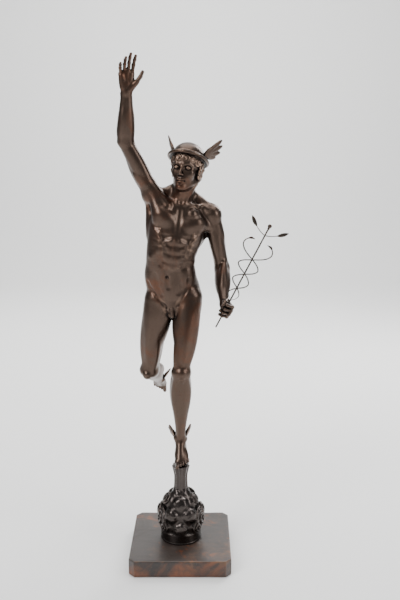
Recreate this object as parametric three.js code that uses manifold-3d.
// Bronze statuette of a winged messenger on a cloud, with a wire staff, on a square wooden plinth.
// Millimetres, +Z up, the figure faces -Y. The origin is the middle of the plinth's underside.
import * as THREE from "three";
import { edgeTable, triTable } from "three/addons/objects/MarchingCubes.js";
import { SimplifyModifier } from "three/addons/modifiers/SimplifyModifier.js";
import { mergeVertices } from "three/addons/utils/BufferGeometryUtils.js";
import Module from "manifold-3d";

// Driving dimensions
const PLINTH = { side: 178, height: 30, corner: 10, edge: 1.2 };
const CLOUD = { foot: 37, core: 31, stem: 11.5, stemTop: 167.7, flutes: 9 };
const FIGURE_HEIGHT = 550; // crown to sole, if it stood upright
const STAFF = { above: 158, below: 34, radius: 1.3, ball: 3.4, wire: 1, hole: 1.7 };
const GAP = 0.3; // between solids that touch
const FIGURE_TRIANGLES = 6600;
const CLOUD_TRIANGLES = 1400;

// The body is modelled in the centimetres of a life-size man, 175 cm tall, and scaled down at the end
const LIFE_HEIGHT = 175;
const LIFE = FIGURE_HEIGHT / LIFE_HEIGHT;
const BODY = { thigh: 42.9, shin: 42.5, upperArm: 32, forearm: 25.5, hips: 8.8, shoulders: 17.8 };
const BODY_GRID = 0.55;
const STEM_HEIGHT = CLOUD.stemTop - PLINTH.height;
const CLOUD_GRID = STEM_HEIGHT / 77;

const v = (x, y, z) => new THREE.Vector3(x, y, z);
const mix = (a, b, t) => a.clone().lerp(b, t);
const reach = (from, length, x, y, z) => v(x, y, z).setLength(length).add(from);
const radians = THREE.MathUtils.degToRad;

// A limb's own axes: along it, towards its front, and to its outer side
class Frame {
  constructor(origin, along, front, outward) {
    this.origin = origin;
    this.along = along.clone().normalize();
    this.front = front.clone().addScaledVector(this.along, -front.dot(this.along)).normalize();
    this.side = new THREE.Vector3().crossVectors(this.front, this.along);
    if (this.side.dot(outward) < 0) this.side.negate();
  }
  at(along, front, side) {
    return this.origin.clone().add(this.vector(along, front, side));
  }
  vector(along, front, side) {
    return v(0, 0, 0).addScaledVector(this.along, along).addScaledVector(this.front, front)
      .addScaledVector(this.side, side);
  }
}

// Every form is a signed distance, with a middle and a reach that bound it
const SKIN = 1.4; // how softly one muscle runs into the next
const OUTSIDE = 24; // far enough from the trunk's middle to be out of the body
let forms = [];
const add = (distance, middle, extent, soft, cut) => forms.push({ distance, middle, extent, soft, cut });

// An egg with its long axis along one way and its flat face towards another
function lump(middle, along, facing, [halfLength, halfWidth, halfDepth], soft = SKIN, cut = false) {
  const a = along.clone().normalize();
  const d = facing.clone().addScaledVector(a, -facing.dot(a)).normalize();
  const w = new THREE.Vector3().crossVectors(a, d);
  add((x, y, z) => {
    const px = x - middle.x;
    const py = y - middle.y;
    const pz = z - middle.z;
    const s = (px * a.x + py * a.y + pz * a.z) / halfLength;
    const t = (px * w.x + py * w.y + pz * w.z) / halfWidth;
    const u = (px * d.x + py * d.y + pz * d.z) / halfDepth;
    const k0 = Math.sqrt(s * s + t * t + u * u);
    const k1 = Math.sqrt((s / halfLength) ** 2 + (t / halfWidth) ** 2 + (u / halfDepth) ** 2);
    return k1 > 1e-6 ? (k0 * (k0 - 1)) / k1 : -Math.min(halfLength, halfWidth, halfDepth);
  }, middle, Math.max(halfLength, halfWidth, halfDepth), soft, cut);
}

function ball(middle, radius, soft = SKIN, cut = false) {
  add((x, y, z) => Math.sqrt((x - middle.x) ** 2 + (y - middle.y) ** 2 + (z - middle.z) ** 2) - radius,
    middle, radius, soft, cut);
}

// A muscle swells between the two places where it is attached
function muscle(a, b, facing, halfWidth, halfDepth, soft = SKIN) {
  lump(mix(a, b, 0.5), b.clone().sub(a), facing, [a.distanceTo(b) * 0.54, halfWidth, halfDepth], soft);
}

// A round bar from a to b, thicker or thinner towards b
function bar(a, b, ra, rb, soft = SKIN, cut = false) {
  const along = b.clone().sub(a);
  const squared = along.lengthSq();
  add((x, y, z) => {
    const px = x - a.x;
    const py = y - a.y;
    const pz = z - a.z;
    const t = Math.min(1, Math.max(0, (px * along.x + py * along.y + pz * along.z) / squared));
    const away = Math.sqrt((px - along.x * t) ** 2 + (py - along.y * t) ** 2 + (pz - along.z * t) ** 2);
    return away - (ra + (rb - ra) * t);
  }, mix(a, b, 0.5), a.distanceTo(b) / 2 + Math.max(ra, rb), soft, cut);
}

// A round cord through points, as one form
function cord(points, radius, soft, cut = false) {
  const ways = points.slice(1).map((point, i) => point.clone().sub(points[i]));
  const box = new THREE.Box3().setFromPoints(points);
  add((x, y, z) => {
    let nearest = 1e6;
    ways.forEach((way, i) => {
      const px = x - points[i].x;
      const py = y - points[i].y;
      const pz = z - points[i].z;
      const t = Math.min(1, Math.max(0, (px * way.x + py * way.y + pz * way.z) / way.lengthSq()));
      nearest = Math.min(nearest, (px - way.x * t) ** 2 + (py - way.y * t) ** 2 + (pz - way.z * t) ** 2);
    });
    return Math.sqrt(nearest) - radius;
  }, box.getCenter(v(0, 0, 0)), box.getSize(v(0, 0, 0)).length() / 2 + radius, soft, cut);
}

// A round bar bent into an oval ring, in the plane across a frame
function ring(frame, depth, width, radius, soft) {
  const { origin, along, front, side } = frame;
  add((x, y, z) => {
    const p = v(x, y, z).sub(origin);
    const u = p.dot(front);
    const w = p.dot(side);
    const k0 = Math.hypot(u / depth, w / width);
    const k1 = Math.hypot(u / depth ** 2, w / width ** 2);
    const away = k1 > 1e-6 ? (k0 * (k0 - 1)) / k1 : -Math.min(depth, width);
    return Math.hypot(away, p.dot(along)) - radius;
  }, origin, Math.max(depth, width) + radius, soft, false);
}

// A smooth curve through rows of numbers, at any place along them
function through(rows, at) {
  let i = 0;
  while (i < rows.length - 2 && at > rows[i + 1][0]) i++;
  const [a, b] = [rows[i], rows[i + 1]];
  const [p, q] = [rows[Math.max(0, i - 1)], rows[Math.min(rows.length - 1, i + 2)]];
  const s = (at - a[0]) / (b[0] - a[0]);
  return a.map((value, c) => {
    const m1 = ((b[c] - p[c]) / (b[0] - p[0])) * (b[0] - a[0]);
    const m2 = ((q[c] - value) / (q[0] - a[0])) * (b[0] - a[0]);
    return (2 * s ** 3 - 3 * s ** 2 + 1) * value + (s ** 3 - 2 * s ** 2 + s) * m1 +
      (3 * s ** 2 - 2 * s ** 3) * b[c] + (s ** 3 - s ** 2) * m2;
  });
}

// Radial distance in a slightly squared oval. depth and width are its radii on the point's own side
const SQUARE = 0.25;
function oval(u, w, depth, width, over, cap) {
  const p = (u / depth) ** 2;
  const q = (w / width) ** 2;
  const r = (over / cap) ** 2;
  const k0 = Math.sqrt((p + q + Math.sqrt(Math.max(0, (p + q) ** 2 - 4 * SQUARE * p * q))) / 2 + r);
  const k1 = Math.sqrt(p / depth ** 2 + q / width ** 2 + r / cap ** 2);
  return k1 > 1e-6 ? (k0 * (k0 - 1)) / k1 : -Math.min(depth, width);
}

// Everything on one side of a height is cut away: below it, or above it
const SHARP = 1e-6;
function trim(height, below) {
  add((x, y, z) => (below ? z - height : height - z), v(0, 0, height), 1e3, SHARP, true);
}

// An upright drum with a rounded edge
function drum(middle, radius, halfHeight, round, soft) {
  add((x, y, z) => {
    const q = Math.hypot(x - middle.x, y - middle.y) - radius + round;
    const h = Math.abs(z - middle.z) - halfHeight + round;
    return Math.min(Math.max(q, h), 0) + Math.hypot(Math.max(q, 0), Math.max(h, 0)) - round;
  }, middle, Math.hypot(radius, halfHeight), soft, false);
}

// A limb's round mass. Each row is [share of the length, front, back, outer, inner radius]
const LOFT_STEPS = 40;
function loft(frame, length, rows, soft) {
  const table = Array.from({ length: LOFT_STEPS + 1 }, (_, i) => through(rows, i / LOFT_STEPS));
  const { origin, along, front, side } = frame;
  const widest = Math.max(...rows.flatMap((row) => row.slice(1)));
  add((x, y, z) => {
    const px = x - origin.x;
    const py = y - origin.y;
    const pz = z - origin.z;
    const s = px * along.x + py * along.y + pz * along.z;
    const u = px * front.x + py * front.y + pz * front.z;
    const w = px * side.x + py * side.y + pz * side.z;
    const at = Math.min(0.9999, Math.max(0, s / length)) * LOFT_STEPS;
    const i = Math.floor(at);
    const a = table[i];
    const b = table[i + 1];
    const deep = u > 0 ? 1 : 2;
    const wide = w > 0 ? 3 : 4;
    const depth = a[deep] + (b[deep] - a[deep]) * (at - i);
    const width = a[wide] + (b[wide] - a[wide]) * (at - i);
    return oval(u, w, depth, width, Math.max(0, -s, s - length), Math.min(depth, width) * 0.8);
  }, frame.at(length / 2, 0, 0), length / 2 + widest, soft, false);
}

// The trunk's mass bends with the spine. Each row is [frame, height in it, front, back, side radius]
const TRUNK_STEPS = 48;
function trunk(rows, soft) {
  const numbers = rows.map(([frame, up, ...radii], i) => [i, ...frame.at(up, 0, 0).toArray(),
    ...frame.along.toArray(), ...frame.front.toArray(), ...radii]);
  const cuts = Array.from({ length: TRUNK_STEPS + 1 }, (_, i) => {
    const n = through(numbers, (i / TRUNK_STEPS) * (rows.length - 1));
    return { frame: new Frame(v(n[1], n[2], n[3]), v(n[4], n[5], n[6]), v(n[7], n[8], n[9]), v(1, 0, 0)),
      radii: n.slice(10) };
  });
  const past = ({ frame: { origin, along } }, x, y, z) =>
    (x - origin.x) * along.x + (y - origin.y) * along.y + (z - origin.z) * along.z;
  add((x, y, z) => {
    let low = 0;
    let high = TRUNK_STEPS;
    while (high - low > 1) {
      const half = (low + high) >> 1;
      if (past(cuts[half], x, y, z) > 0) low = half;
      else high = half;
    }
    const below = past(cuts[low], x, y, z);
    const above = past(cuts[high], x, y, z);
    const t = Math.min(1, Math.max(0, below / (below - above || 1)));
    const blend = (get) => get(cuts[low]) + (get(cuts[high]) - get(cuts[low])) * t;
    const px = x - blend((c) => c.frame.origin.x);
    const py = y - blend((c) => c.frame.origin.y);
    const pz = z - blend((c) => c.frame.origin.z);
    const { front, side } = cuts[low].frame;
    const u = px * front.x + py * front.y + pz * front.z;
    const w = px * side.x + py * side.y + pz * side.z;
    const depth = blend((c) => c.radii[u > 0 ? 0 : 1]);
    const width = blend((c) => c.radii[2]);
    return oval(u, w, depth, width, Math.max(0, -below, above), Math.min(depth, width) * 0.6);
  }, mix(cuts[0].frame.origin, cuts[TRUNK_STEPS].frame.origin, 0.5), 45, soft, false);
}

// Smooth union and smooth cut of forms at a point
function field(list, x, y, z) {
  let d = 1e3;
  for (const { distance, soft, cut } of list) {
    const e = cut ? -distance(x, y, z) : distance(x, y, z);
    const h = Math.max(soft - Math.abs(d - e), 0) / soft;
    d = cut ? Math.max(d, e) + (h * h * soft) / 4 : Math.min(d, e) - (h * h * soft) / 4;
  }
  return d;
}

// Walks from outside towards the body and stops on its skin, or that far outside it
function onSkin(outside, inward, lift = 0) {
  const p = outside.clone();
  const way = inward.clone().normalize();
  for (let i = 0; i < 50; i++) {
    const d = field(forms, p.x, p.y, p.z) - lift;
    if (d < 0.01) break;
    p.addScaledVector(way, Math.min(1.5, d * 0.7));
  }
  return p;
}

// A shallow groove or a low ridge along places on the skin, each [height, sideways] as seen from one side
function line(frame, facing, places, radius, relief, soft = 1) {
  const seen = frame.vector(0, ...facing).normalize();
  const across = frame.vector(0, -facing[1], facing[0]).normalize();
  const lift = relief < 0 ? radius + relief : relief - radius;
  const points = places.map(([up, sideways]) => {
    const outside = frame.at(up, 0, 0).addScaledVector(across, sideways).addScaledVector(seen, OUTSIDE);
    return onSkin(outside, seen.clone().negate(), lift);
  });
  cord(points, radius, soft, relief < 0);
}

// The pose, from the ball of the standing foot upwards. The figure's left is +X
const LEFT = v(1, 0, 0);
const RIGHT = v(-1, 0, 0);
const FORWARD = v(0, -1, 0);
const UP = v(0, 0, 1);
const ankleL = v(0, 7, 12.4);
const kneeL = reach(ankleL, BODY.shin, 0.02, -0.15, 1);
const hipL = reach(kneeL, BODY.thigh, 0.1, 0.13, 1);
const pelvisSide = v(1, -0.16, 0.13).normalize();
const pelvisMiddle = hipL.clone().addScaledVector(pelvisSide, -BODY.hips);
const hipR = hipL.clone().addScaledVector(pelvisSide, -2 * BODY.hips);
const kneeR = reach(hipR, BODY.thigh, -0.14, 0.1, -1);
const ankleR = reach(kneeR, BODY.shin, 0.08, 0.92, -0.4);
const pelvis = new Frame(pelvisMiddle, v(-0.12, -0.06, 1), v(-0.16, -1, 0), LEFT);
const chest = new Frame(pelvis.at(37, 1.2, 0).add(v(6.2, 0, 0)), v(0.15, 0.03, 1), v(0.1, -1, 0), LEFT);
const shoulderL = chest.at(13, -0.6, BODY.shoulders);
const shoulderR = chest.at(18.2, -0.8, -15.4);
const elbowR = reach(shoulderR, BODY.upperArm, -0.42, -0.16, 0.89);
const wristR = reach(elbowR, BODY.forearm, 0.07, -0.28, 0.95);
const elbowL = reach(shoulderL, BODY.upperArm, 0.2, 0.16, -0.97);
const wristL = reach(elbowL, BODY.forearm, 0.02, -0.74, -0.66);
const acromions = [chest.at(16.6, -1.6, 16.2), chest.at(20.6, -1.6, -13.6)];
const head = new Frame(chest.at(33.8, 3.2, 0.6), v(0.14, 0.14, 1), v(-0.3, -1, 0.1), LEFT);

const thighs = [
  new Frame(hipL, kneeL.clone().sub(hipL), v(0.08, -1, 0), LEFT),
  new Frame(hipR, kneeR.clone().sub(hipR), v(-0.25, -1, 0), RIGHT),
];
const shins = [
  new Frame(kneeL, ankleL.clone().sub(kneeL), v(0.1, -1, 0), LEFT),
  new Frame(kneeR, ankleR.clone().sub(kneeR), v(-0.2, -0.3, -1), RIGHT),
];
const feet = [
  new Frame(ankleL, v(0.06, -1, -0.72), v(0, -1, 1), LEFT),
  new Frame(ankleR, v(0.02, 0.62, -0.78), v(0, -0.8, -0.6), RIGHT),
];
const upperArms = [
  new Frame(shoulderL, elbowL.clone().sub(shoulderL), v(-0.1, -1, 0), LEFT),
  new Frame(shoulderR, elbowR.clone().sub(shoulderR), v(0.5, -1, 0), RIGHT),
];
const forearms = [
  new Frame(elbowL, wristL.clone().sub(elbowL), v(-1, 0, 0.2), v(0.3, -0.4, 1)),
  new Frame(elbowR, wristR.clone().sub(elbowR), v(0.25, -1, 0), LEFT),
];
const staffWay = v(0.44, -0.12, 0.88).normalize();
const fistWay = forearms[0].along.clone().addScaledVector(staffWay, -forearms[0].along.dot(staffWay));
const hands = [
  new Frame(wristL, fistWay, v(-0.85, -0.36, 0.37), staffWay),
  new Frame(wristR, v(0.03, -0.14, 1), v(0.4, -1, 0), LEFT),
];
const staffHold = hands[0].at(8.3, 2.5, 0);

function torso() {
  trunk([
    [pelvis, -8, 4.4, 5.5, 7], [pelvis, -4, 6.2, 8, 12], [pelvis, 1, 7.6, 9.4, 14.4],
    [pelvis, 7, 8.4, 9.4, 14.2], [pelvis, 12, 8.7, 8.6, 13.3], [pelvis, 17, 8.7, 8, 12.4],
    [chest, -15, 8.7, 8.2, 12.3], [chest, -9, 9, 8.8, 13.2], [chest, -2, 9.3, 9.6, 14.2],
    [chest, 5, 9, 10.2, 14.3], [chest, 11, 7.6, 9.8, 12.6], [chest, 15.5, 5.8, 8.6, 9.6],
    [chest, 19, 4.2, 7, 6],
  ], 2);
  lump(chest.at(-8, 6.6, 0), chest.along, chest.front, [11.5, 6.6, 3.3], 1.8);
  lump(pelvis.at(9, 5.8, 0), pelvis.along, pelvis.front, [12.5, 6, 3.5], 2);
  lump(pelvis.at(19, 5.4, 0), UP, FORWARD, [8, 6.4, 3.8], 2.4);
  lump(pelvis.at(-3.5, 5.4, 0), pelvis.along, pelvis.front, [4.4, 4.4, 3], 2);
  for (const s of [-1, 1]) {
    const rise = s < 0 ? 1.4 : 0;
    // the seat and the hip
    lump(pelvis.at(-2.4, -6.8, 6.7 * s), pelvis.vector(1, 0, 0.25 * s), pelvis.front, [9.2, 7.2, 6.4], 2.2);
    lump(pelvis.at(6, -3.6, 9.6 * s), pelvis.vector(1, 0, -0.2 * s), pelvis.front, [7.2, 4.9, 5], 2.4);
    // the flank's roll over the hip bone
    lump(pelvis.at(14.6, 0.6, 8.8 * s), pelvis.vector(0.4, 1, 0), pelvis.side, [7, 5, 5], 2.6);
    // back
    muscle(pelvis.at(3, -6, 3.2 * s), chest.at(4, -7.2, 3.8 * s), chest.front, 3.8, 3, 2);
    lump(chest.at(0, -4, 11.6 * s), chest.vector(1, 0, 0.22 * s), chest.side, [11.5, 5.2, 3.9], 2.2);
    lump(chest.at(9 + rise, -7.6, 8.4 * s), chest.vector(1, 0, 0.3 * s), chest.vector(0, -1, 0.3 * s),
      [6.8, 5, 3.3], 1.6);
    // breast
    const pull = chest.vector(0.3 + 0.35 * rise, 0, s); // towards the shoulder
    lump(chest.at(5.6 + rise, 5.4, 7.2 * s), pull, chest.vector(0, 1, 0.42 * s), [7.8, 5.6, 4.4], 1.2);
  }
  // ribs that show through at the side, and the edge of the rib cage
  for (const s of [-1, 1]) {
    for (const i of [0, 1, 2, 3]) {
      const seen = chest.vector(0, 0.55 + 0.08 * i, s);
      const outside = chest.at(0.6 - 3.2 * i, 0, 0).addScaledVector(seen, OUTSIDE);
      const middle = onSkin(outside, seen.clone().negate(), -0.9);
      lump(middle, chest.vector(-0.7, 1, 0), seen, [3.6, 1.4, 1.2], 1);
    }
    const ribEdge = [[-3.4, 1.6 * s], [-6.6, 4.4 * s], [-10.4, 7.6 * s], [-14, 10.4 * s]];
    line(chest, [1, 0], ribEdge, 1.6, 0.3, 1.8);
    line(chest, [1, 0], [[-5.4, 7.8 * s], [-12, 7 * s], [-18, 6.6 * s]], 1.4, -0.25, 1.2);
    line(pelvis, [1, 0], [[16, 6.8 * s], [9, 6.3 * s], [4, 5.2 * s]], 1.4, -0.2, 1.2);
    const groin = [[11.4, 10.4 * s], [8.6, 9.6 * s], [4.6, 7.6 * s], [0.6, 5 * s], [-3, 2.4 * s]];
    line(pelvis, [1, 0.2 * s], groin, 1.2, -0.6);
    for (const up of [-6.6, -11.4, -16.4]) {
      line(chest, [1, 0], [[up - 0.2, 0.8 * s], [up, 3 * s], [up + 0.7, 5.6 * s]], 1, -0.17, 1.2);
    }
    line(chest, [1, 0], [[-1.3, 1.6 * s], [-2, 5 * s], [-1.2, 8.6 * s], [1.6, 11.4 * s]], 1.3, -0.3, 1.2);
  }
  line(chest, [1, 0], [[13, 0], [6, 0], [-2, 0], [-10, 0], [-18, 0]], 1.3, -0.4, 1.2);
  line(pelvis, [1, 0], [[18, 0], [14.6, 0], [8, 0]], 1.2, -0.25, 1.2);
  line(chest, [-1, 0], [[15, 0], [6, 0], [-4, 0], [-14, 0]], 1.8, -0.5, 2);
  line(pelvis, [-1, 0], [[20, 0], [13, 0], [7, 0]], 1.8, -0.5, 2);
  line(pelvis, [-1, 0], [[4, 0], [0, 0], [-5, 0]], 1, -0.8);
  ball(onSkin(pelvis.at(14, OUTSIDE, 0), pelvis.vector(0, -1, 0)), 0.75, 0.7, true);
  for (const s of [-1, 1]) {
    ball(onSkin(chest.at(1.2, OUTSIDE, 9 * s), chest.vector(0, -1, 0), -0.25), 0.6, 0.5);
  }
}

function loins() {
  for (const s of [-1, 1]) {
    lump(pelvis.at(-7.6, 6.6, 1.3 * s), pelvis.along, pelvis.front, [2.2, 1.6, 1.7], 0.6);
  }
  bar(pelvis.at(-5, 8.4, 0), pelvis.at(-8.4, 8.8, 0.1), 1.2, 1, 0.6);
}

function neck() {
  bar(chest.at(13, -2.6, 0), head.at(-4, -2.4, 0), 5.9, 5.2, 2);
  bar(chest.at(15, 1.2, 0), head.at(-8, 0.5, 0), 4, 3.8, 2);
  bar(chest.at(12, -1.6, 4), mix(shoulderL, acromions[0], 0.4), 5, 4, 2.6);
  bar(chest.at(13, -1.6, -4), mix(shoulderR, acromions[1], 0.4), 5, 4, 2.6);
  ball(mix(chest.at(17, 4.4, 0), head.at(-9, 3.6, 0), 0.62), 1.3, 1.6);
  [1, -1].forEach((s, i) => {
    bar(head.at(-4, -2.4, 6 * s), chest.at(16, 5, 1.7 * s), 1.5, 1, 1);
    bar(chest.at(24, -3.6, 2.6 * s), mix(chest.at(19, -2.6, 8 * s), acromions[i], 0.35), 3.4, 2.8, 2.6);
    bar(mix(chest.at(19, -2.6, 8 * s), acromions[i], 0.35), acromions[i], 2.8, 2, 2.4);
    bar(chest.at(23, -5.4, 1.4 * s), chest.at(6, -8.4, 2.4 * s), 3, 2.2, 2.2);
    // collar bone
    const bend = mix(chest.at(16, 6, 6.5 * s), acromions[i], 0.3);
    bar(chest.at(16, 5.2, 2 * s), bend, 1.15, 0.95, 1.1);
    bar(bend, acromions[i], 0.95, 1.1, 1.1);
  });
  ball(chest.at(17.4, 6.4, 0), 1.2, 1.2, true);
}

function skull() {
  lump(head.at(3.2, -0.6, 0), head.along, head.front, [7.9, 7.4, 9.2], 1.5);
  lump(head.at(3.6, 3.6, 0), head.along, head.front, [4.8, 6.2, 5.3], 1.5);
  lump(head.at(-3, 2.2, 0), head.along, head.front, [7.8, 5.6, 6.1], 1.8);
  lump(head.at(-8.4, 4.2, 0), head.side, head.front, [2.7, 2.9, 3.6], 1.8);
  ball(head.at(-9.9, 6.8, 0), 1.5, 1.2);
  lump(head.at(-6.3, 6.2, 0), head.side, head.front, [2.8, 2.5, 2.3], 1.4);
  for (const s of [-1, 1]) {
    bar(head.at(-5.4, -0.6, 5 * s), head.at(-9.7, 5.4, 1.5 * s), 1.5, 1.4, 1.8);
    ball(head.at(-1.6, 4.8, 4.4 * s), 1.8, 2.4);
    lump(head.at(0.5, 8.3, 3.2 * s), head.vector(0.05, -0.35, s), head.front, [2.6, 1.5, 1.8], 0.9, true);
    lump(head.at(0.5, 6.5, 3.1 * s), head.vector(0, -0.3, s), head.front, [1.7, 1.15, 1.25], 0.3);
    bar(head.at(2.1, 8.1, 1 * s), head.at(2.7, 7.4, 3.4 * s), 0.8, 0.8, 0.9);
    bar(head.at(2.7, 7.4, 3.4 * s), head.at(1.8, 5.8, 5.4 * s), 0.8, 0.7, 0.9);
    ball(head.at(-3.6, 8.9, 1.15 * s), 0.8, 0.6);
    lump(head.at(-1, -0.6, 7.2 * s), head.vector(1, -0.2, 0), head.vector(0, 0.5, s), [3.1, 1.7, 0.8], 0.5);
  }
  bar(head.at(1.8, 7.8, 0), head.at(-3, 10, 0), 0.85, 1, 0.9);
  lump(head.at(-3.3, 9, 0), head.side, head.front, [1.5, 0.9, 1.5], 0.8);
  lump(head.at(-6, 8.5, 0), head.side, head.front, [2.2, 0.6, 0.9], 0.5);
  lump(head.at(-7.4, 8.3, 0), head.side, head.front, [1.9, 0.7, 0.9], 0.5);
  bar(head.at(-6.7, 9.6, -2), head.at(-6.7, 9.6, 2), 0.35, 0.35, 0.4, true);
}

// A wing is a fan of flat feathers from one root, from the leading edge back to the trailing one
function wing(root, leading, trailing, lengths, halfWidth, halfThickness) {
  const flat = new THREE.Vector3().crossVectors(leading, trailing).normalize();
  lengths.forEach((length, i) => {
    const way = mix(leading.clone().normalize(), trailing.clone().normalize(), i / (lengths.length - 1));
    way.normalize();
    const middle = root.clone().addScaledVector(way, length / 2);
    lump(middle, way, flat, [length * 0.54, halfWidth, halfThickness], 0.5);
  });
}

// The brimmed cap, the curls under its brim, and its two wings
const CAP = { up: 6.2, back: -0.9, tilt: -0.2, radius: 8.8, depth: 10.4, height: 8.2, brim: 1.6 };
const CURLS = 15;
const CURL_ROWS = [ // under the brim, over the ears, and down the nape
  { from: 0, up: 5.6, drop: 5.8, deep: 9.6, wide: 7.9, radius: 2 },
  { from: 0.25, up: 2.4, drop: 6, deep: 8.6, wide: 7.4, radius: 1.9 },
  { from: 0.6, up: -1, drop: 5.6, deep: 7.8, wide: 6, radius: 1.7 },
];
function hair() {
  lump(head.at(-0.8, -4, 0), head.along, head.front, [7.4, 7.6, 6.8], 1.2);
  for (let i = 0; i < CURLS; i++) {
    const angle = ((i + 0.5) / CURLS) * 2 * Math.PI; // from the middle of the face round to the nape
    const back = (1 - Math.cos(angle)) / 2;
    for (const { from, up, drop, deep, wide, radius } of CURL_ROWS) {
      if (back < from) continue;
      const front = CAP.back + deep * Math.cos(angle);
      ball(head.at(up - drop * back, front, wide * Math.sin(angle)), radius, 0.6);
    }
  }
}
function cap() {
  const frame = new Frame(head.at(CAP.up, CAP.back, 0), head.vector(1, CAP.tilt, 0), head.front, LEFT);
  lump(frame.at(0.6, 0, 0), frame.front, frame.along, [CAP.depth, CAP.radius, CAP.height], 0.3);
  ring(frame, CAP.depth + CAP.brim, CAP.radius + CAP.brim, 0.85, 0.5);
  lump(frame.at(0, 0, 0), frame.front, frame.along, [CAP.depth + 1.9, CAP.radius + 1.9, 0.9], 0.6);
  for (const s of [-1, 1]) {
    wing(frame.at(2.6, 0.4, 8.4 * s), frame.vector(1, -0.35, 0.62 * s), frame.vector(0.34, -1, 0.5 * s),
      [13.5, 13, 11.5, 9], 1.7, 0.75);
  }
}

// One arm, from the shoulder to the wrist
function arm(i) {
  const u = upperArms[i];
  const f = forearms[i];
  const s = i ? -1 : 1;
  const L = BODY.upperArm;
  const M = BODY.forearm;
  loft(u, L, [
    [0, 4.8, 4.8, 4.6, 4.4], [0.3, 4.4, 4.4, 4, 4], [0.55, 4.2, 4.4, 3.8, 3.7], [0.8, 3.7, 3.9, 3.6, 3.5],
    [1, 3.4, 3.2, 3.8, 3.8],
  ], 2.4);
  // shoulder muscle in three parts
  const grip = u.at(0.46 * L, 0.4, 3);
  const collar = chest.at(i ? 18 : 15.4, 4, (i ? 10 : 12) * s);
  const blade = chest.at(i ? 16 : 13, -7.4, (i ? 9.6 : 11.6) * s);
  ball(u.at(0.6, 0, 0.4), 5, 2);
  muscle(mix(acromions[i], collar, 0.6), grip, u.vector(0, 1, 0.6), 3, 2.8, 1.3);
  muscle(acromions[i], grip, u.side, 3.5, 3.1, 1.3);
  muscle(mix(acromions[i], blade, 0.6), grip, u.vector(0, -1, 0.6), 3.2, 2.8, 1.3);
  // front and back of the upper arm
  muscle(u.at(0.14 * L, 2, -1), u.at(0.93 * L, 2, -0.2), u.front, 3, 3.1, 1.2);
  muscle(u.at(0.14 * L, -2.2, 1.7), u.at(0.74 * L, -2.8, 1.5), u.front, 2.8, 2.7, 1.2);
  muscle(u.at(0.12 * L, -2.2, -1.7), u.at(0.82 * L, -2.8, -1.5), u.front, 2.8, 2.7, 1.2);
  ball(u.at(L, -2.5, 0), 1.7, 1.4);
  // folds in front of and behind the armpit
  const fold = u.at(0.2 * L, 1.6, -1.4);
  for (const [up, front, side, radius] of [[12, 5, 7, 2.8], [7.5, 5.8, 10, 3], [3.8, 5.2, 11, 2.4]]) {
    bar(chest.at(i ? up + 2 : up, front, side * s), fold, radius, 2, 1.8);
  }
  bar(chest.at(-3, -3.4, 12.4 * s), u.at(0.18 * L, -2, -1.6), 3, 2.2, 2.2);
  bar(chest.at(7, -7, 10 * s), u.at(0.12 * L, -2.6, -0.6), 3.2, 2.6, 2);
  // forearm
  loft(f, M, [
    [0, 3.6, 3.4, 3.8, 3.8], [0.18, 4, 3.6, 4.3, 4.2], [0.45, 3.6, 3.3, 3.8, 3.6], [0.75, 2.5, 2.4, 3, 2.9],
    [1, 1.9, 1.9, 2.7, 2.7],
  ], 2);
  muscle(u.at(0.8 * L, 0.8, 2.2), f.at(0.6 * M, 0.6, 2.6), f.front, 2, 2.1, 1.2);
  muscle(f.at(0, 1.6, -2.2), f.at(0.66 * M, 1.6, -1.2), f.front, 2.4, 2.3, 1.2);
  muscle(f.at(0.04 * M, -1.6, 1.8), f.at(0.64 * M, -1.6, 1.2), f.front, 2.3, 2.2, 1.2);
  ball(f.at(0.95 * M, -1.3, -2), 1.1, 0.9);
}

// A finger is three bones, each bent towards the palm by its own angle
function finger(h, root, bends, length, radius, lean = 0) {
  let at = root;
  let angle = 0;
  [0.45, 0.31, 0.24].forEach((share, n) => {
    angle += radians(bends[n]);
    const way = h.vector(Math.cos(angle), Math.sin(angle), lean).normalize();
    const next = at.clone().addScaledVector(way, length * share);
    bar(at, next, radius * (1 - 0.08 * n), radius * (0.94 - 0.08 * n), 0.3);
    at = next;
  });
}

// Fingers are counted from the first to the little one
const FINGER = {
  roots: [[9, 3.1], [9.6, 1.05], [9.3, -1.05], [8.5, -3]],
  lengths: [8.6, 9.4, 8.8, 7],
  radius: 0.92,
};
function hand(i, bends, leans, thumb) {
  const h = hands[i];
  lump(h.at(4.9, 0.2, 0.2), h.along, h.front, [6.6, 4, 1.7], 1);
  bar(h.at(-0.5, 0, 0), h.at(3, 0.1, 0), 2.2, 2, 1.4);
  bar(h.at(2, 0.3, -1.8), h.at(7.6, 0.4, -2.8), 1.6, 1.4, 1);
  bar(h.at(2, 0.3, 1.6), h.at(8.2, 0.2, 2.6), 1.6, 1.3, 1);
  FINGER.roots.forEach(([along, side], n) => {
    ball(h.at(along - 0.2, -0.2, side), 1.15, 0.8);
    finger(h, h.at(along, 0, side), bends[n], FINGER.lengths[n], FINGER.radius - 0.04 * n, leans[n]);
  });
  const joints = thumb.map(([along, front, side]) => h.at(along, front, side));
  bar(joints[0], joints[1], 1.7, 1.4, 0.9);
  bar(joints[1], joints[2], 1.15, 1.05, 0.35);
  bar(joints[2], joints[3], 1.05, 0.85, 0.3);
}

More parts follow.
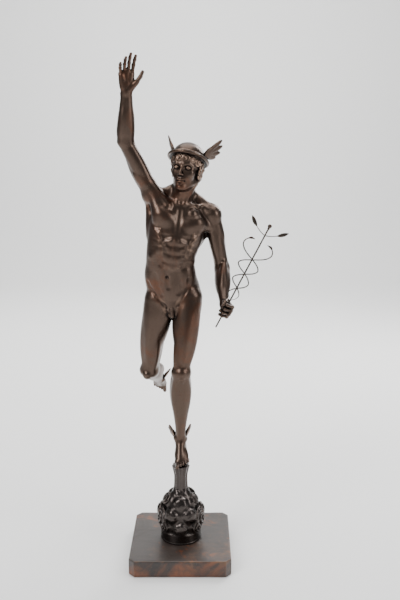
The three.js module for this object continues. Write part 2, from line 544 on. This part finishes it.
// One leg, from the hip to the ankle
function leg(i) {
  const t = thighs[i];
  const h = shins[i];
  const s = i ? -1 : 1;
  const L = BODY.thigh;
  const M = BODY.shin;
  loft(t, L, [
    [0, 7.6, 8.2, 7.6, 6.8], [0.2, 8, 8.2, 7.5, 7.2], [0.45, 7.5, 6.9, 6.8, 6.5], [0.7, 6, 5.6, 5.7, 5.5],
    [0.88, 4.9, 5, 4.9, 4.9], [1, 4.6, 4.8, 4.9, 5],
  ], 2.4);
  muscle(t.at(0.04 * L, 4.4, 0.6), t.at(0.86 * L, 3.3, 0.2), t.front, 3.4, 4, 1.3);
  muscle(t.at(0.1 * L, 1.6, 4), t.at(0.87 * L, 1.6, 2.8), t.vector(0, 0.4, 1), 3.7, 3.9, 1.3);
  muscle(t.at(0.46 * L, 2.4, -2.8), t.at(0.97 * L, 1.8, -2.7), t.vector(0, 0.5, -1), 2.6, 3, 1.1);
  muscle(pelvis.at(-5, 2.4, 3.4 * s), t.at(0.62 * L, -0.8, -2.6), t.side, 4.2, 4, 2);
  muscle(t.at(0.06 * L, -4.2, -1.9), t.at(0.98 * L, -3.2, -2.8), t.front, 3.1, 3.3, 1.3);
  muscle(t.at(0.06 * L, -4.2, 1.9), t.at(0.98 * L, -3, 3), t.front, 3.1, 3.3, 1.3);
  muscle(pelvis.at(3, -2.6, 10.2 * s), t.at(0.2 * L, -1, 4.6), t.side, 4.6, 3.6, 2.4);
  // knee
  const bend = t.front.clone().add(h.front).normalize();
  const kneecap = t.at(L, 0, 0).addScaledVector(bend, i ? 4.6 : 3.9);
  lump(kneecap, t.along.clone().add(h.along), bend, [2.6, 2.2, 1.5], 1.5);
  ball(h.at(0.3, 0, 2.4), 2.6, 1.8);
  ball(h.at(0.3, 0, -2.4), 2.7, 1.8);
  // lower leg
  loft(h, M, [
    [0, 4.1, 4.6, 4.5, 4.5], [0.1, 4.1, 4.8, 4.5, 4.6], [0.28, 3.7, 6.4, 5.2, 5.3],
    [0.45, 3.3, 5.6, 4.5, 4.6], [0.65, 2.9, 3.9, 3.2, 3.2], [0.85, 2.5, 3, 2.6, 2.6],
    [1, 2.6, 3.1, 2.8, 2.8],
  ], 2);
  muscle(h.at(0, -2.2, -2.5), h.at(0.54 * M, -3, -2), h.vector(0, -1, -0.5), 3, 3.9, 1.1);
  muscle(h.at(0, -2.2, 2.5), h.at(0.48 * M, -2.9, 2), h.vector(0, -1, 0.5), 2.8, 3.6, 1.1);
  muscle(h.at(0.28 * M, -1.4, 0), h.at(0.86 * M, -2.2, 0), h.front, 3.6, 2.5, 1.5);
  muscle(h.at(0.06 * M, 1.8, 1.8), h.at(0.74 * M, 1.6, 0.8), h.front, 2, 2.1, 1.1);
  bar(h.at(0.1 * M, 3.1, -0.6), h.at(0.94 * M, 1.9, -0.7), 1.1, 0.9, 1.2);
  ball(h.at(0.09 * M, 3.5, 0), 1.3, 1.2);
  ball(h.at(M, -0.5, 2.6), 1.4, 0.9);
  ball(h.at(0.97 * M, 0.3, -2.6), 1.5, 0.9);
}

// One foot and its two ankle wings. toes is the way that the toes point
const TOES = 5;
function foot(i, toes) {
  const f = feet[i];
  const h = shins[i];
  lump(f.at(-3.4, -2.6, 0), f.vector(1, -0.7, 0), f.side, [4.2, 3, 2.9], 1.8);
  bar(h.at(0.72 * BODY.shin, -2.7, 0), f.at(-4.4, -1, 0), 1, 1.5, 1.6);
  bar(f.at(0.4, -0.4, 0), f.at(11, -4.2, -0.8), 3.2, 2, 1.8);
  bar(f.at(-2, -4.4, 1.4), f.at(11.2, -5, 2.6), 1.6, 1.4, 1.5);
  lump(f.at(8.6, -3.9, 0.2), f.vector(1, -0.2, 0.05), f.front, [6.4, 3.9, 2.2], 1.4);
  ball(f.at(12.4, -4.9, -2.1), 1.9, 1);
  for (let n = 0; n < TOES; n++) {
    const root = f.at(12.9 - 0.55 * n, -4.9, -2.4 + 1.5 * n + (n ? 0.3 : 0));
    const radius = n ? 1 - 0.05 * n : 1.4;
    bar(root, root.clone().addScaledVector(toes, n ? 5.4 - 0.6 * n : 6), radius, radius * 0.86, 0.45);
  }
  for (const s of [-1, 1]) {
    const leading = h.vector(-1, -0.9, 0.7 * s);
    wing(f.at(-1.8, 0.6, 2.8 * s), leading, h.vector(0, -1, 0.5 * s), [8.2, 7.6, 6.2], 1.3, 0.7);
  }
}

// Corners of a cell, round its bottom and then its top, and its edges in that order and then upright
const CORNERS = [[0, 0, 0], [1, 0, 0], [1, 1, 0], [0, 1, 0], [0, 0, 1], [1, 0, 1], [1, 1, 1], [0, 1, 1]];
const EDGES = [
  [0, 1], [1, 2], [3, 2], [0, 3], [4, 5], [5, 6], [7, 6], [4, 7], [0, 4], [1, 5], [2, 6], [3, 7],
];
const BLOCK = 8;
const NEAREST = 0.08; // of a cell: no vertex comes closer to a corner

// The forms' signed distance on a grid, worked out in blocks that hold only the forms in reach
function sample(step) {
  const box = new THREE.Box3();
  for (const { middle, extent, cut } of forms) {
    if (cut) continue;
    box.expandByPoint(middle.clone().addScalar(extent)).expandByPoint(middle.clone().addScalar(-extent));
  }
  const low = box.min.addScalar(-step);
  low.z = (Math.floor(low.z / step) + 0.5) * step; // a flat end at a whole number of steps stays exact
  const count = box.max.sub(low).toArray().map((size) => Math.ceil(size / step / BLOCK) * BLOCK + 1);
  const values = new Float32Array(count[0] * count[1] * count[2]).fill(1);
  const half = (BLOCK * step) / 2;
  const radius = half * Math.sqrt(3);
  const softest = Math.max(...forms.map(({ soft }) => soft));
  const index = (i, j, k) => i + count[0] * (j + count[1] * k);
  const block = (bi, bj, bk) => {
    const [x, y, z] = [low.x + bi * step, low.y + bj * step, low.z + bk * step];
    const middle = [x + half, y + half, z + half];
    const deep = field(forms, ...middle);
    const near = Math.abs(deep) < 1.6 * radius + softest;
    const reached = ({ distance, soft, cut }) =>
      distance(...middle) < (cut ? 0 : deep) + 2.2 * radius + soft;
    const list = near ? forms.filter(reached) : [];
    for (let k = 0; k <= BLOCK; k++) {
      for (let j = 0; j <= BLOCK; j++) {
        for (let i = 0; i <= BLOCK; i++) {
          const d = near ? field(list, x + i * step, y + j * step, z + k * step) : deep;
          values[index(bi + i, bj + j, bk + k)] = Math.abs(d) < 1e-4 ? 1e-4 : d;
        }
      }
    }
  };
  for (let k = 0; k + 1 < count[2]; k += BLOCK) {
    for (let j = 0; j + 1 < count[1]; j += BLOCK) {
      for (let i = 0; i + 1 < count[0]; i += BLOCK) block(i, j, k);
    }
  }
  return { values, count, index, low };
}

// One closed surface where the distance is zero
function surface(step) {
  const { values, count, index, low } = sample(step);
  const points = [];
  const faces = [];
  const made = new Map();
  const vertex = (cell, edge) => {
    const [a, b] = EDGES[edge].map((c) => CORNERS[c].map((offset, axis) => offset + cell[axis]));
    const [ia, ib] = [index(...a), index(...b)];
    const key = `${ia} ${ib}`;
    if (!made.has(key)) {
      const t = Math.min(1 - NEAREST, Math.max(NEAREST, values[ia] / (values[ia] - values[ib])));
      made.set(key, points.length / 3);
      points.push(...low.toArray().map((start, axis) => start + (a[axis] + (b[axis] - a[axis]) * t) * step));
    }
    return made.get(key);
  };
  for (let k = 0; k + 1 < count[2]; k++) {
    for (let j = 0; j + 1 < count[1]; j++) {
      for (let i = 0; i + 1 < count[0]; i++) {
        let bits = 0;
        CORNERS.forEach(([x, y, z], c) => {
          if (values[index(i + x, j + y, k + z)] < 0) bits |= 1 << c;
        });
        if (!edgeTable[bits]) continue;
        for (let q = bits * 16; triTable[q] !== -1; q += 3) {
          for (const corner of [2, 1, 0]) faces.push(vertex([i, j, k], triTable[q + corner]));
        }
      }
    }
  }
  const geometry = new THREE.BufferGeometry();
  geometry.setAttribute("position", new THREE.Float32BufferAttribute(points, 3));
  geometry.setIndex(outerShell(faces, points.length / 3));
  return geometry;
}

// Only the largest connected shell is kept, so that no pocket stays shut inside the body
function outerShell(faces, vertices) {
  const parent = Int32Array.from({ length: vertices }, (_, n) => n);
  const find = (n) => {
    while (parent[n] !== n) n = parent[n] = parent[parent[n]];
    return n;
  };
  for (let q = 0; q < faces.length; q += 3) {
    parent[find(faces[q])] = find(faces[q + 1]);
    parent[find(faces[q])] = find(faces[q + 2]);
  }
  const sizes = new Int32Array(vertices);
  for (let q = 0; q < faces.length; q += 3) sizes[find(faces[q])]++;
  const largest = sizes.indexOf(Math.max(...new Set(sizes)));
  return faces.filter((_, q) => find(faces[q - (q % 3)]) === largest);
}

// Models one piece from its forms and thins its surface out to about that many triangles
async function sculpt(model, step, triangles) {
  forms = [];
  model();
  const fine = surface(step);
  const share = 1 - (triangles * 3) / fine.index.count;
  const vertices = fine.attributes.position.count;
  return share > 0 ? new SimplifyModifier().modify(fine, Math.floor(vertices * share)) : fine;
}

function figureForms() {
  torso();
  neck();
  [0, 1].forEach(arm);
  [0, 1].forEach(leg);
  loins();
  foot(0, v(0.04, -1, -0.02).normalize());
  foot(1, feet[1].vector(1, 0.25, 0).normalize());
  skull();
  hair();
  cap();
  hand(0, [[76, 95, 60], [74, 95, 60], [74, 92, 60], [76, 88, 60]], [0.1, 0.03, -0.03, -0.1],
    [[1.6, 0.8, 2.4], [5.4, 2.6, 4.6], [8.2, 4.8, 4.4], [10, 5.8, 3]]);
  hand(1, [[6, 12, 8], [12, 16, 10], [20, 22, 14], [24, 24, 16]], [0.14, 0.03, -0.06, -0.18],
    [[1.4, 0.8, 2], [4.6, 2, 4.8], [7.2, 2.6, 6.6], [9.6, 3, 7.6]]);
  trim(0, true);
}

// Cloud: rings of billows round a core, scrolls at both sides, and a fluted stem. In millimetres
const BILLOWS = [ // height over the plinth, distance from the axis, radius, count, turn
  [30, 25, 15, 7, 0], [52, 26, 15, 6, 0.5], [71, 17, 14, 5, 0], [84, 8, 10, 4, 0.5],
];
const SCROLL = { radius: 13, thickness: 3.6, turns: 1.5, height: 40, out: 34, steps: 22 };

function cloudForms() {
  drum(v(0, 0, 5), CLOUD.foot, 9, 3, 3);
  lump(v(0, 0, 48), UP, FORWARD, [38, CLOUD.core, CLOUD.core], 6);
  for (const [height, out, radius, count, turn] of BILLOWS) {
    for (let n = 0; n < count; n++) {
      const angle = ((n + turn) / count) * 2 * Math.PI;
      ball(v(out * Math.sin(angle), -out * Math.cos(angle), height), radius, 2.5);
    }
  }
  for (const [x, y] of [[1, -0.35], [-1, -0.35], [0.75, 1], [-0.75, 1]]) scroll(v(x, y, 0.1).normalize());
  stem();
  trim(0, true);
  trim(STEM_HEIGHT, false);
}

// A spiral roll that lies on the billows and faces outwards
function scroll(out) {
  const across = v(-out.y, out.x, 0).normalize().multiplyScalar(Math.sign(out.x));
  const centre = v(0, 0, SCROLL.height).addScaledVector(out, SCROLL.out);
  const spiral = Array.from({ length: SCROLL.steps + 1 }, (_, n) => {
    const share = n / SCROLL.steps;
    const angle = share * SCROLL.turns * 2 * Math.PI;
    const radius = SCROLL.radius * (1 - 0.82 * share);
    return centre.clone().addScaledVector(across, -radius * Math.cos(angle))
      .addScaledVector(UP, radius * Math.sin(angle)).addScaledVector(out, 2 + 5 * share);
  });
  lump(centre, out, UP, [7, SCROLL.radius, SCROLL.radius], 3);
  cord(spiral, SCROLL.thickness, 1.5);
}

// The stem's radius runs through rows of [height, radius], with upright flutes
function stem() {
  const top = STEM_HEIGHT;
  const rows = [
    [60, 14], [92, CLOUD.stem + 1], [104, CLOUD.stem], [top - 18, CLOUD.stem], [top - 6, 14], [top, 15.5],
  ];
  add((x, y, z) => {
    const [, radius] = through(rows, Math.min(top, Math.max(rows[0][0], z)));
    const flute = 0.9 * Math.cos(CLOUD.flutes * Math.atan2(x, -y));
    return Math.max(Math.hypot(x, y) - radius - flute, z - top - 4, rows[0][0] - z);
  }, v(0, 0, 100), 60, 3, false);
}

// Booleans: a closed geometry becomes a solid, and back
const wasm = await Module();
wasm.setup();
function solid(geometry) {
  const bare = geometry.clone();
  for (const name of Object.keys(bare.attributes)) if (name !== "position") bare.deleteAttribute(name);
  const merged = mergeVertices(bare, 1e-4);
  return new wasm.Manifold(new wasm.Mesh({ numProp: 3, vertProperties: merged.attributes.position.array,
    triVerts: Uint32Array.from(merged.index.array) }));
}
function geometryOf(manifold) {
  const { numProp, vertProperties, triVerts } = manifold.getMesh();
  const geometry = new THREE.BufferGeometry();
  geometry.setAttribute("position", new THREE.Float32BufferAttribute(vertProperties, numProp));
  geometry.setIndex(Array.from(triVerts));
  geometry.computeVertexNormals();
  return geometry;
}
// A tube with closed ends. radiiAt gives its radius across and through at a share of its length
function sweep(curve, steps, sides, radiiAt, flatTo) {
  const points = [];
  const faces = [];
  for (let i = 0; i <= steps; i++) {
    const middle = curve.getPointAt(i / steps);
    const way = curve.getTangentAt(i / steps);
    const through = flatTo.clone().addScaledVector(way, -flatTo.dot(way)).normalize();
    const across = new THREE.Vector3().crossVectors(way, through);
    const [wide, thick] = radiiAt(i / steps);
    for (let n = 0; n < sides; n++) {
      const angle = (n / sides) * 2 * Math.PI;
      points.push(...middle.clone().addScaledVector(across, wide * Math.cos(angle))
        .addScaledVector(through, thick * Math.sin(angle)).toArray());
      if (i === steps) continue;
      const [a, b] = [i * sides + n, i * sides + ((n + 1) % sides)];
      faces.push(a, a + sides, b, b, a + sides, b + sides);
    }
  }
  for (let n = 1; n + 1 < sides; n++) {
    faces.push(0, n, n + 1, steps * sides, steps * sides + n + 1, steps * sides + n);
  }
  const geometry = new THREE.BufferGeometry();
  geometry.setAttribute("position", new THREE.Float32BufferAttribute(points, 3));
  geometry.setIndex(faces);
  geometry.computeVertexNormals();
  return geometry;
}

// Places of life size become places of the statuette, with the ball of the foot over the stem
const FOOTING = v(-1, 2, CLOUD.stemTop + GAP);
const placed = (point) => point.clone().multiplyScalar(LIFE).add(FOOTING);

// The staff's own axes: up the rod, towards the viewer, and to the side
const staff = new Frame(placed(staffHold), staffWay, FORWARD, LEFT);

// Each serpent crosses the rod at these heights over the hand and swings out this far between them
const CROSSINGS = [20, 43, 70, 97];
const SWINGS = [9, 14, 17.5];
const HEAD_LOOP = [[102, 11], [108, 20], [115, 25], [122, 24], [128, 18], [129, 11]];
const CLEAR = STAFF.radius + STAFF.wire + GAP;

function serpentCurve(side) {
  const points = [];
  SWINGS.forEach((swing, n) => {
    const way = side * (n % 2 ? -1 : 1);
    for (const share of [0, 0.25, 0.5, 0.75]) {
      const along = CROSSINGS[n] + (CROSSINGS[n + 1] - CROSSINGS[n]) * share;
      const turn = share * Math.PI;
      points.push(staff.at(along, way * CLEAR * Math.cos(turn), way * swing * Math.sin(turn)));
    }
  });
  const last = -side;
  points.push(staff.at(CROSSINGS[3], last * CLEAR, 0));
  for (const [along, across] of HEAD_LOOP) points.push(staff.at(along, last * 1.2, last * across));
  return new THREE.CatmullRomCurve3(points, false, "centripetal");
}

// A serpent tapers to its tail and thickens at its head, at the end of its curve
function serpentRadius(share) {
  const tail = Math.min(1, 0.35 + share * 5);
  const head = Math.max(0, 1 - Math.abs(share - 0.955) / 0.04);
  const snout = share > 0.985 ? 0.45 : 1;
  return STAFF.wire * (tail + 0.9 * head) * snout;
}

// Two leaf-shaped wings on one wire, bowed across the back of the rod
const WING_WIRE = { up: 141, out: 33, rise: 20, leaf: 19 };
function staffWings() {
  const { up, out, rise, leaf } = WING_WIRE;
  const curve = new THREE.CatmullRomCurve3([-1, -0.72, -0.45, -0.2, 0, 0.2, 0.45, 0.72, 1].map((share) =>
    staff.at(up + rise * Math.abs(share) ** 1.6, -CLEAR, out * share)));
  const length = curve.getLength();
  return sweep(curve, 28, 6, (share) => {
    const fromTip = Math.min(share, 1 - share) * length;
    const blade = fromTip < leaf ? Math.sin((fromTip / leaf) * Math.PI) ** 0.8 : 0;
    return [STAFF.wire * 0.7 + 2.9 * blade, STAFF.wire * 0.7 + 0.1 * blade];
  }, staff.front);
}

function rod() {
  const { above, below, radius, ball: knob } = STAFF;
  const profile = [new THREE.Vector2(0, -below), new THREE.Vector2(radius * 0.7, -below)];
  profile.push(new THREE.Vector2(radius, 1 - below), new THREE.Vector2(radius, above - knob));
  for (let n = 1; n <= 6; n++) {
    const angle = -Math.PI / 2 + 0.42 + ((Math.PI - 0.42) * n) / 6;
    profile.push(new THREE.Vector2(n === 6 ? 0 : knob * Math.cos(angle), above + knob * Math.sin(angle)));
  }
  return new THREE.LatheGeometry(profile, 12);
}

function plinth() {
  const { side, height, corner, edge } = PLINTH;
  const half = side / 2;
  const outline = new THREE.Shape();
  const corners = [[1, 1], [-1, 1], [-1, -1], [1, -1]].flatMap(([x, y]) => {
    const ends = [[half * x, (half - corner) * y], [(half - corner) * x, half * y]];
    return x * y > 0 ? ends : ends.reverse();
  });
  corners.forEach(([x, y], n) => (n ? outline.lineTo(x, y) : outline.moveTo(x, y)));
  outline.closePath();
  return new THREE.ExtrudeGeometry(outline, {
    depth: height - 2 * edge, bevelEnabled: true, bevelSegments: 1,
    bevelThickness: edge, bevelSize: edge, bevelOffset: -edge,
  }).translate(0, 0, edge);
}

function hole() {
  const { above, below, hole: radius } = STAFF;
  const bore = new THREE.CylinderGeometry(radius, radius, above + below + 8, 16);
  bore.translate(0, (above - below) / 2, 0);
  bore.applyQuaternion(new THREE.Quaternion().setFromUnitVectors(v(0, 1, 0), staff.along));
  return bore.translate(...staff.origin.toArray());
}

const part = new THREE.Group();
function piece(name, geometry, colour, roughness, metalness) {
  const material = new THREE.MeshStandardMaterial({ color: colour, roughness, metalness });
  const mesh = new THREE.Mesh(geometry, material);
  mesh.name = name;
  part.add(mesh);
  return mesh;
}

piece("plinth", plinth(), 0x4a3024, 0.45, 0);

const cloud = await sculpt(cloudForms, CLOUD_GRID, CLOUD_TRIANGLES);
piece("cloud_mound", cloud, 0x3b3029, 0.35, 1).position.z = PLINTH.height;

const figureGeometry = await sculpt(figureForms, BODY_GRID, FIGURE_TRIANGLES);
figureGeometry.scale(LIFE, LIFE, LIFE).translate(...FOOTING.toArray());
piece("figure", geometryOf(solid(figureGeometry).subtract(solid(hole()))), 0x4a372b, 0.35, 1);

const staffRod = piece("staff_rod", rod(), 0x2e2823, 0.45, 1);
staffRod.position.copy(staff.origin);
staffRod.quaternion.setFromUnitVectors(v(0, 1, 0), staff.along);
for (const [name, side] of [["staff_serpent_left", 1], ["staff_serpent_right", -1]]) {
  const radii = (share) => [serpentRadius(share), serpentRadius(share)];
  piece(name, sweep(serpentCurve(side), 42, 6, radii, staff.front), 0x2e2823, 0.45, 1);
}
piece("staff_wings", staffWings(), 0x2e2823, 0.45, 1);

export default part;
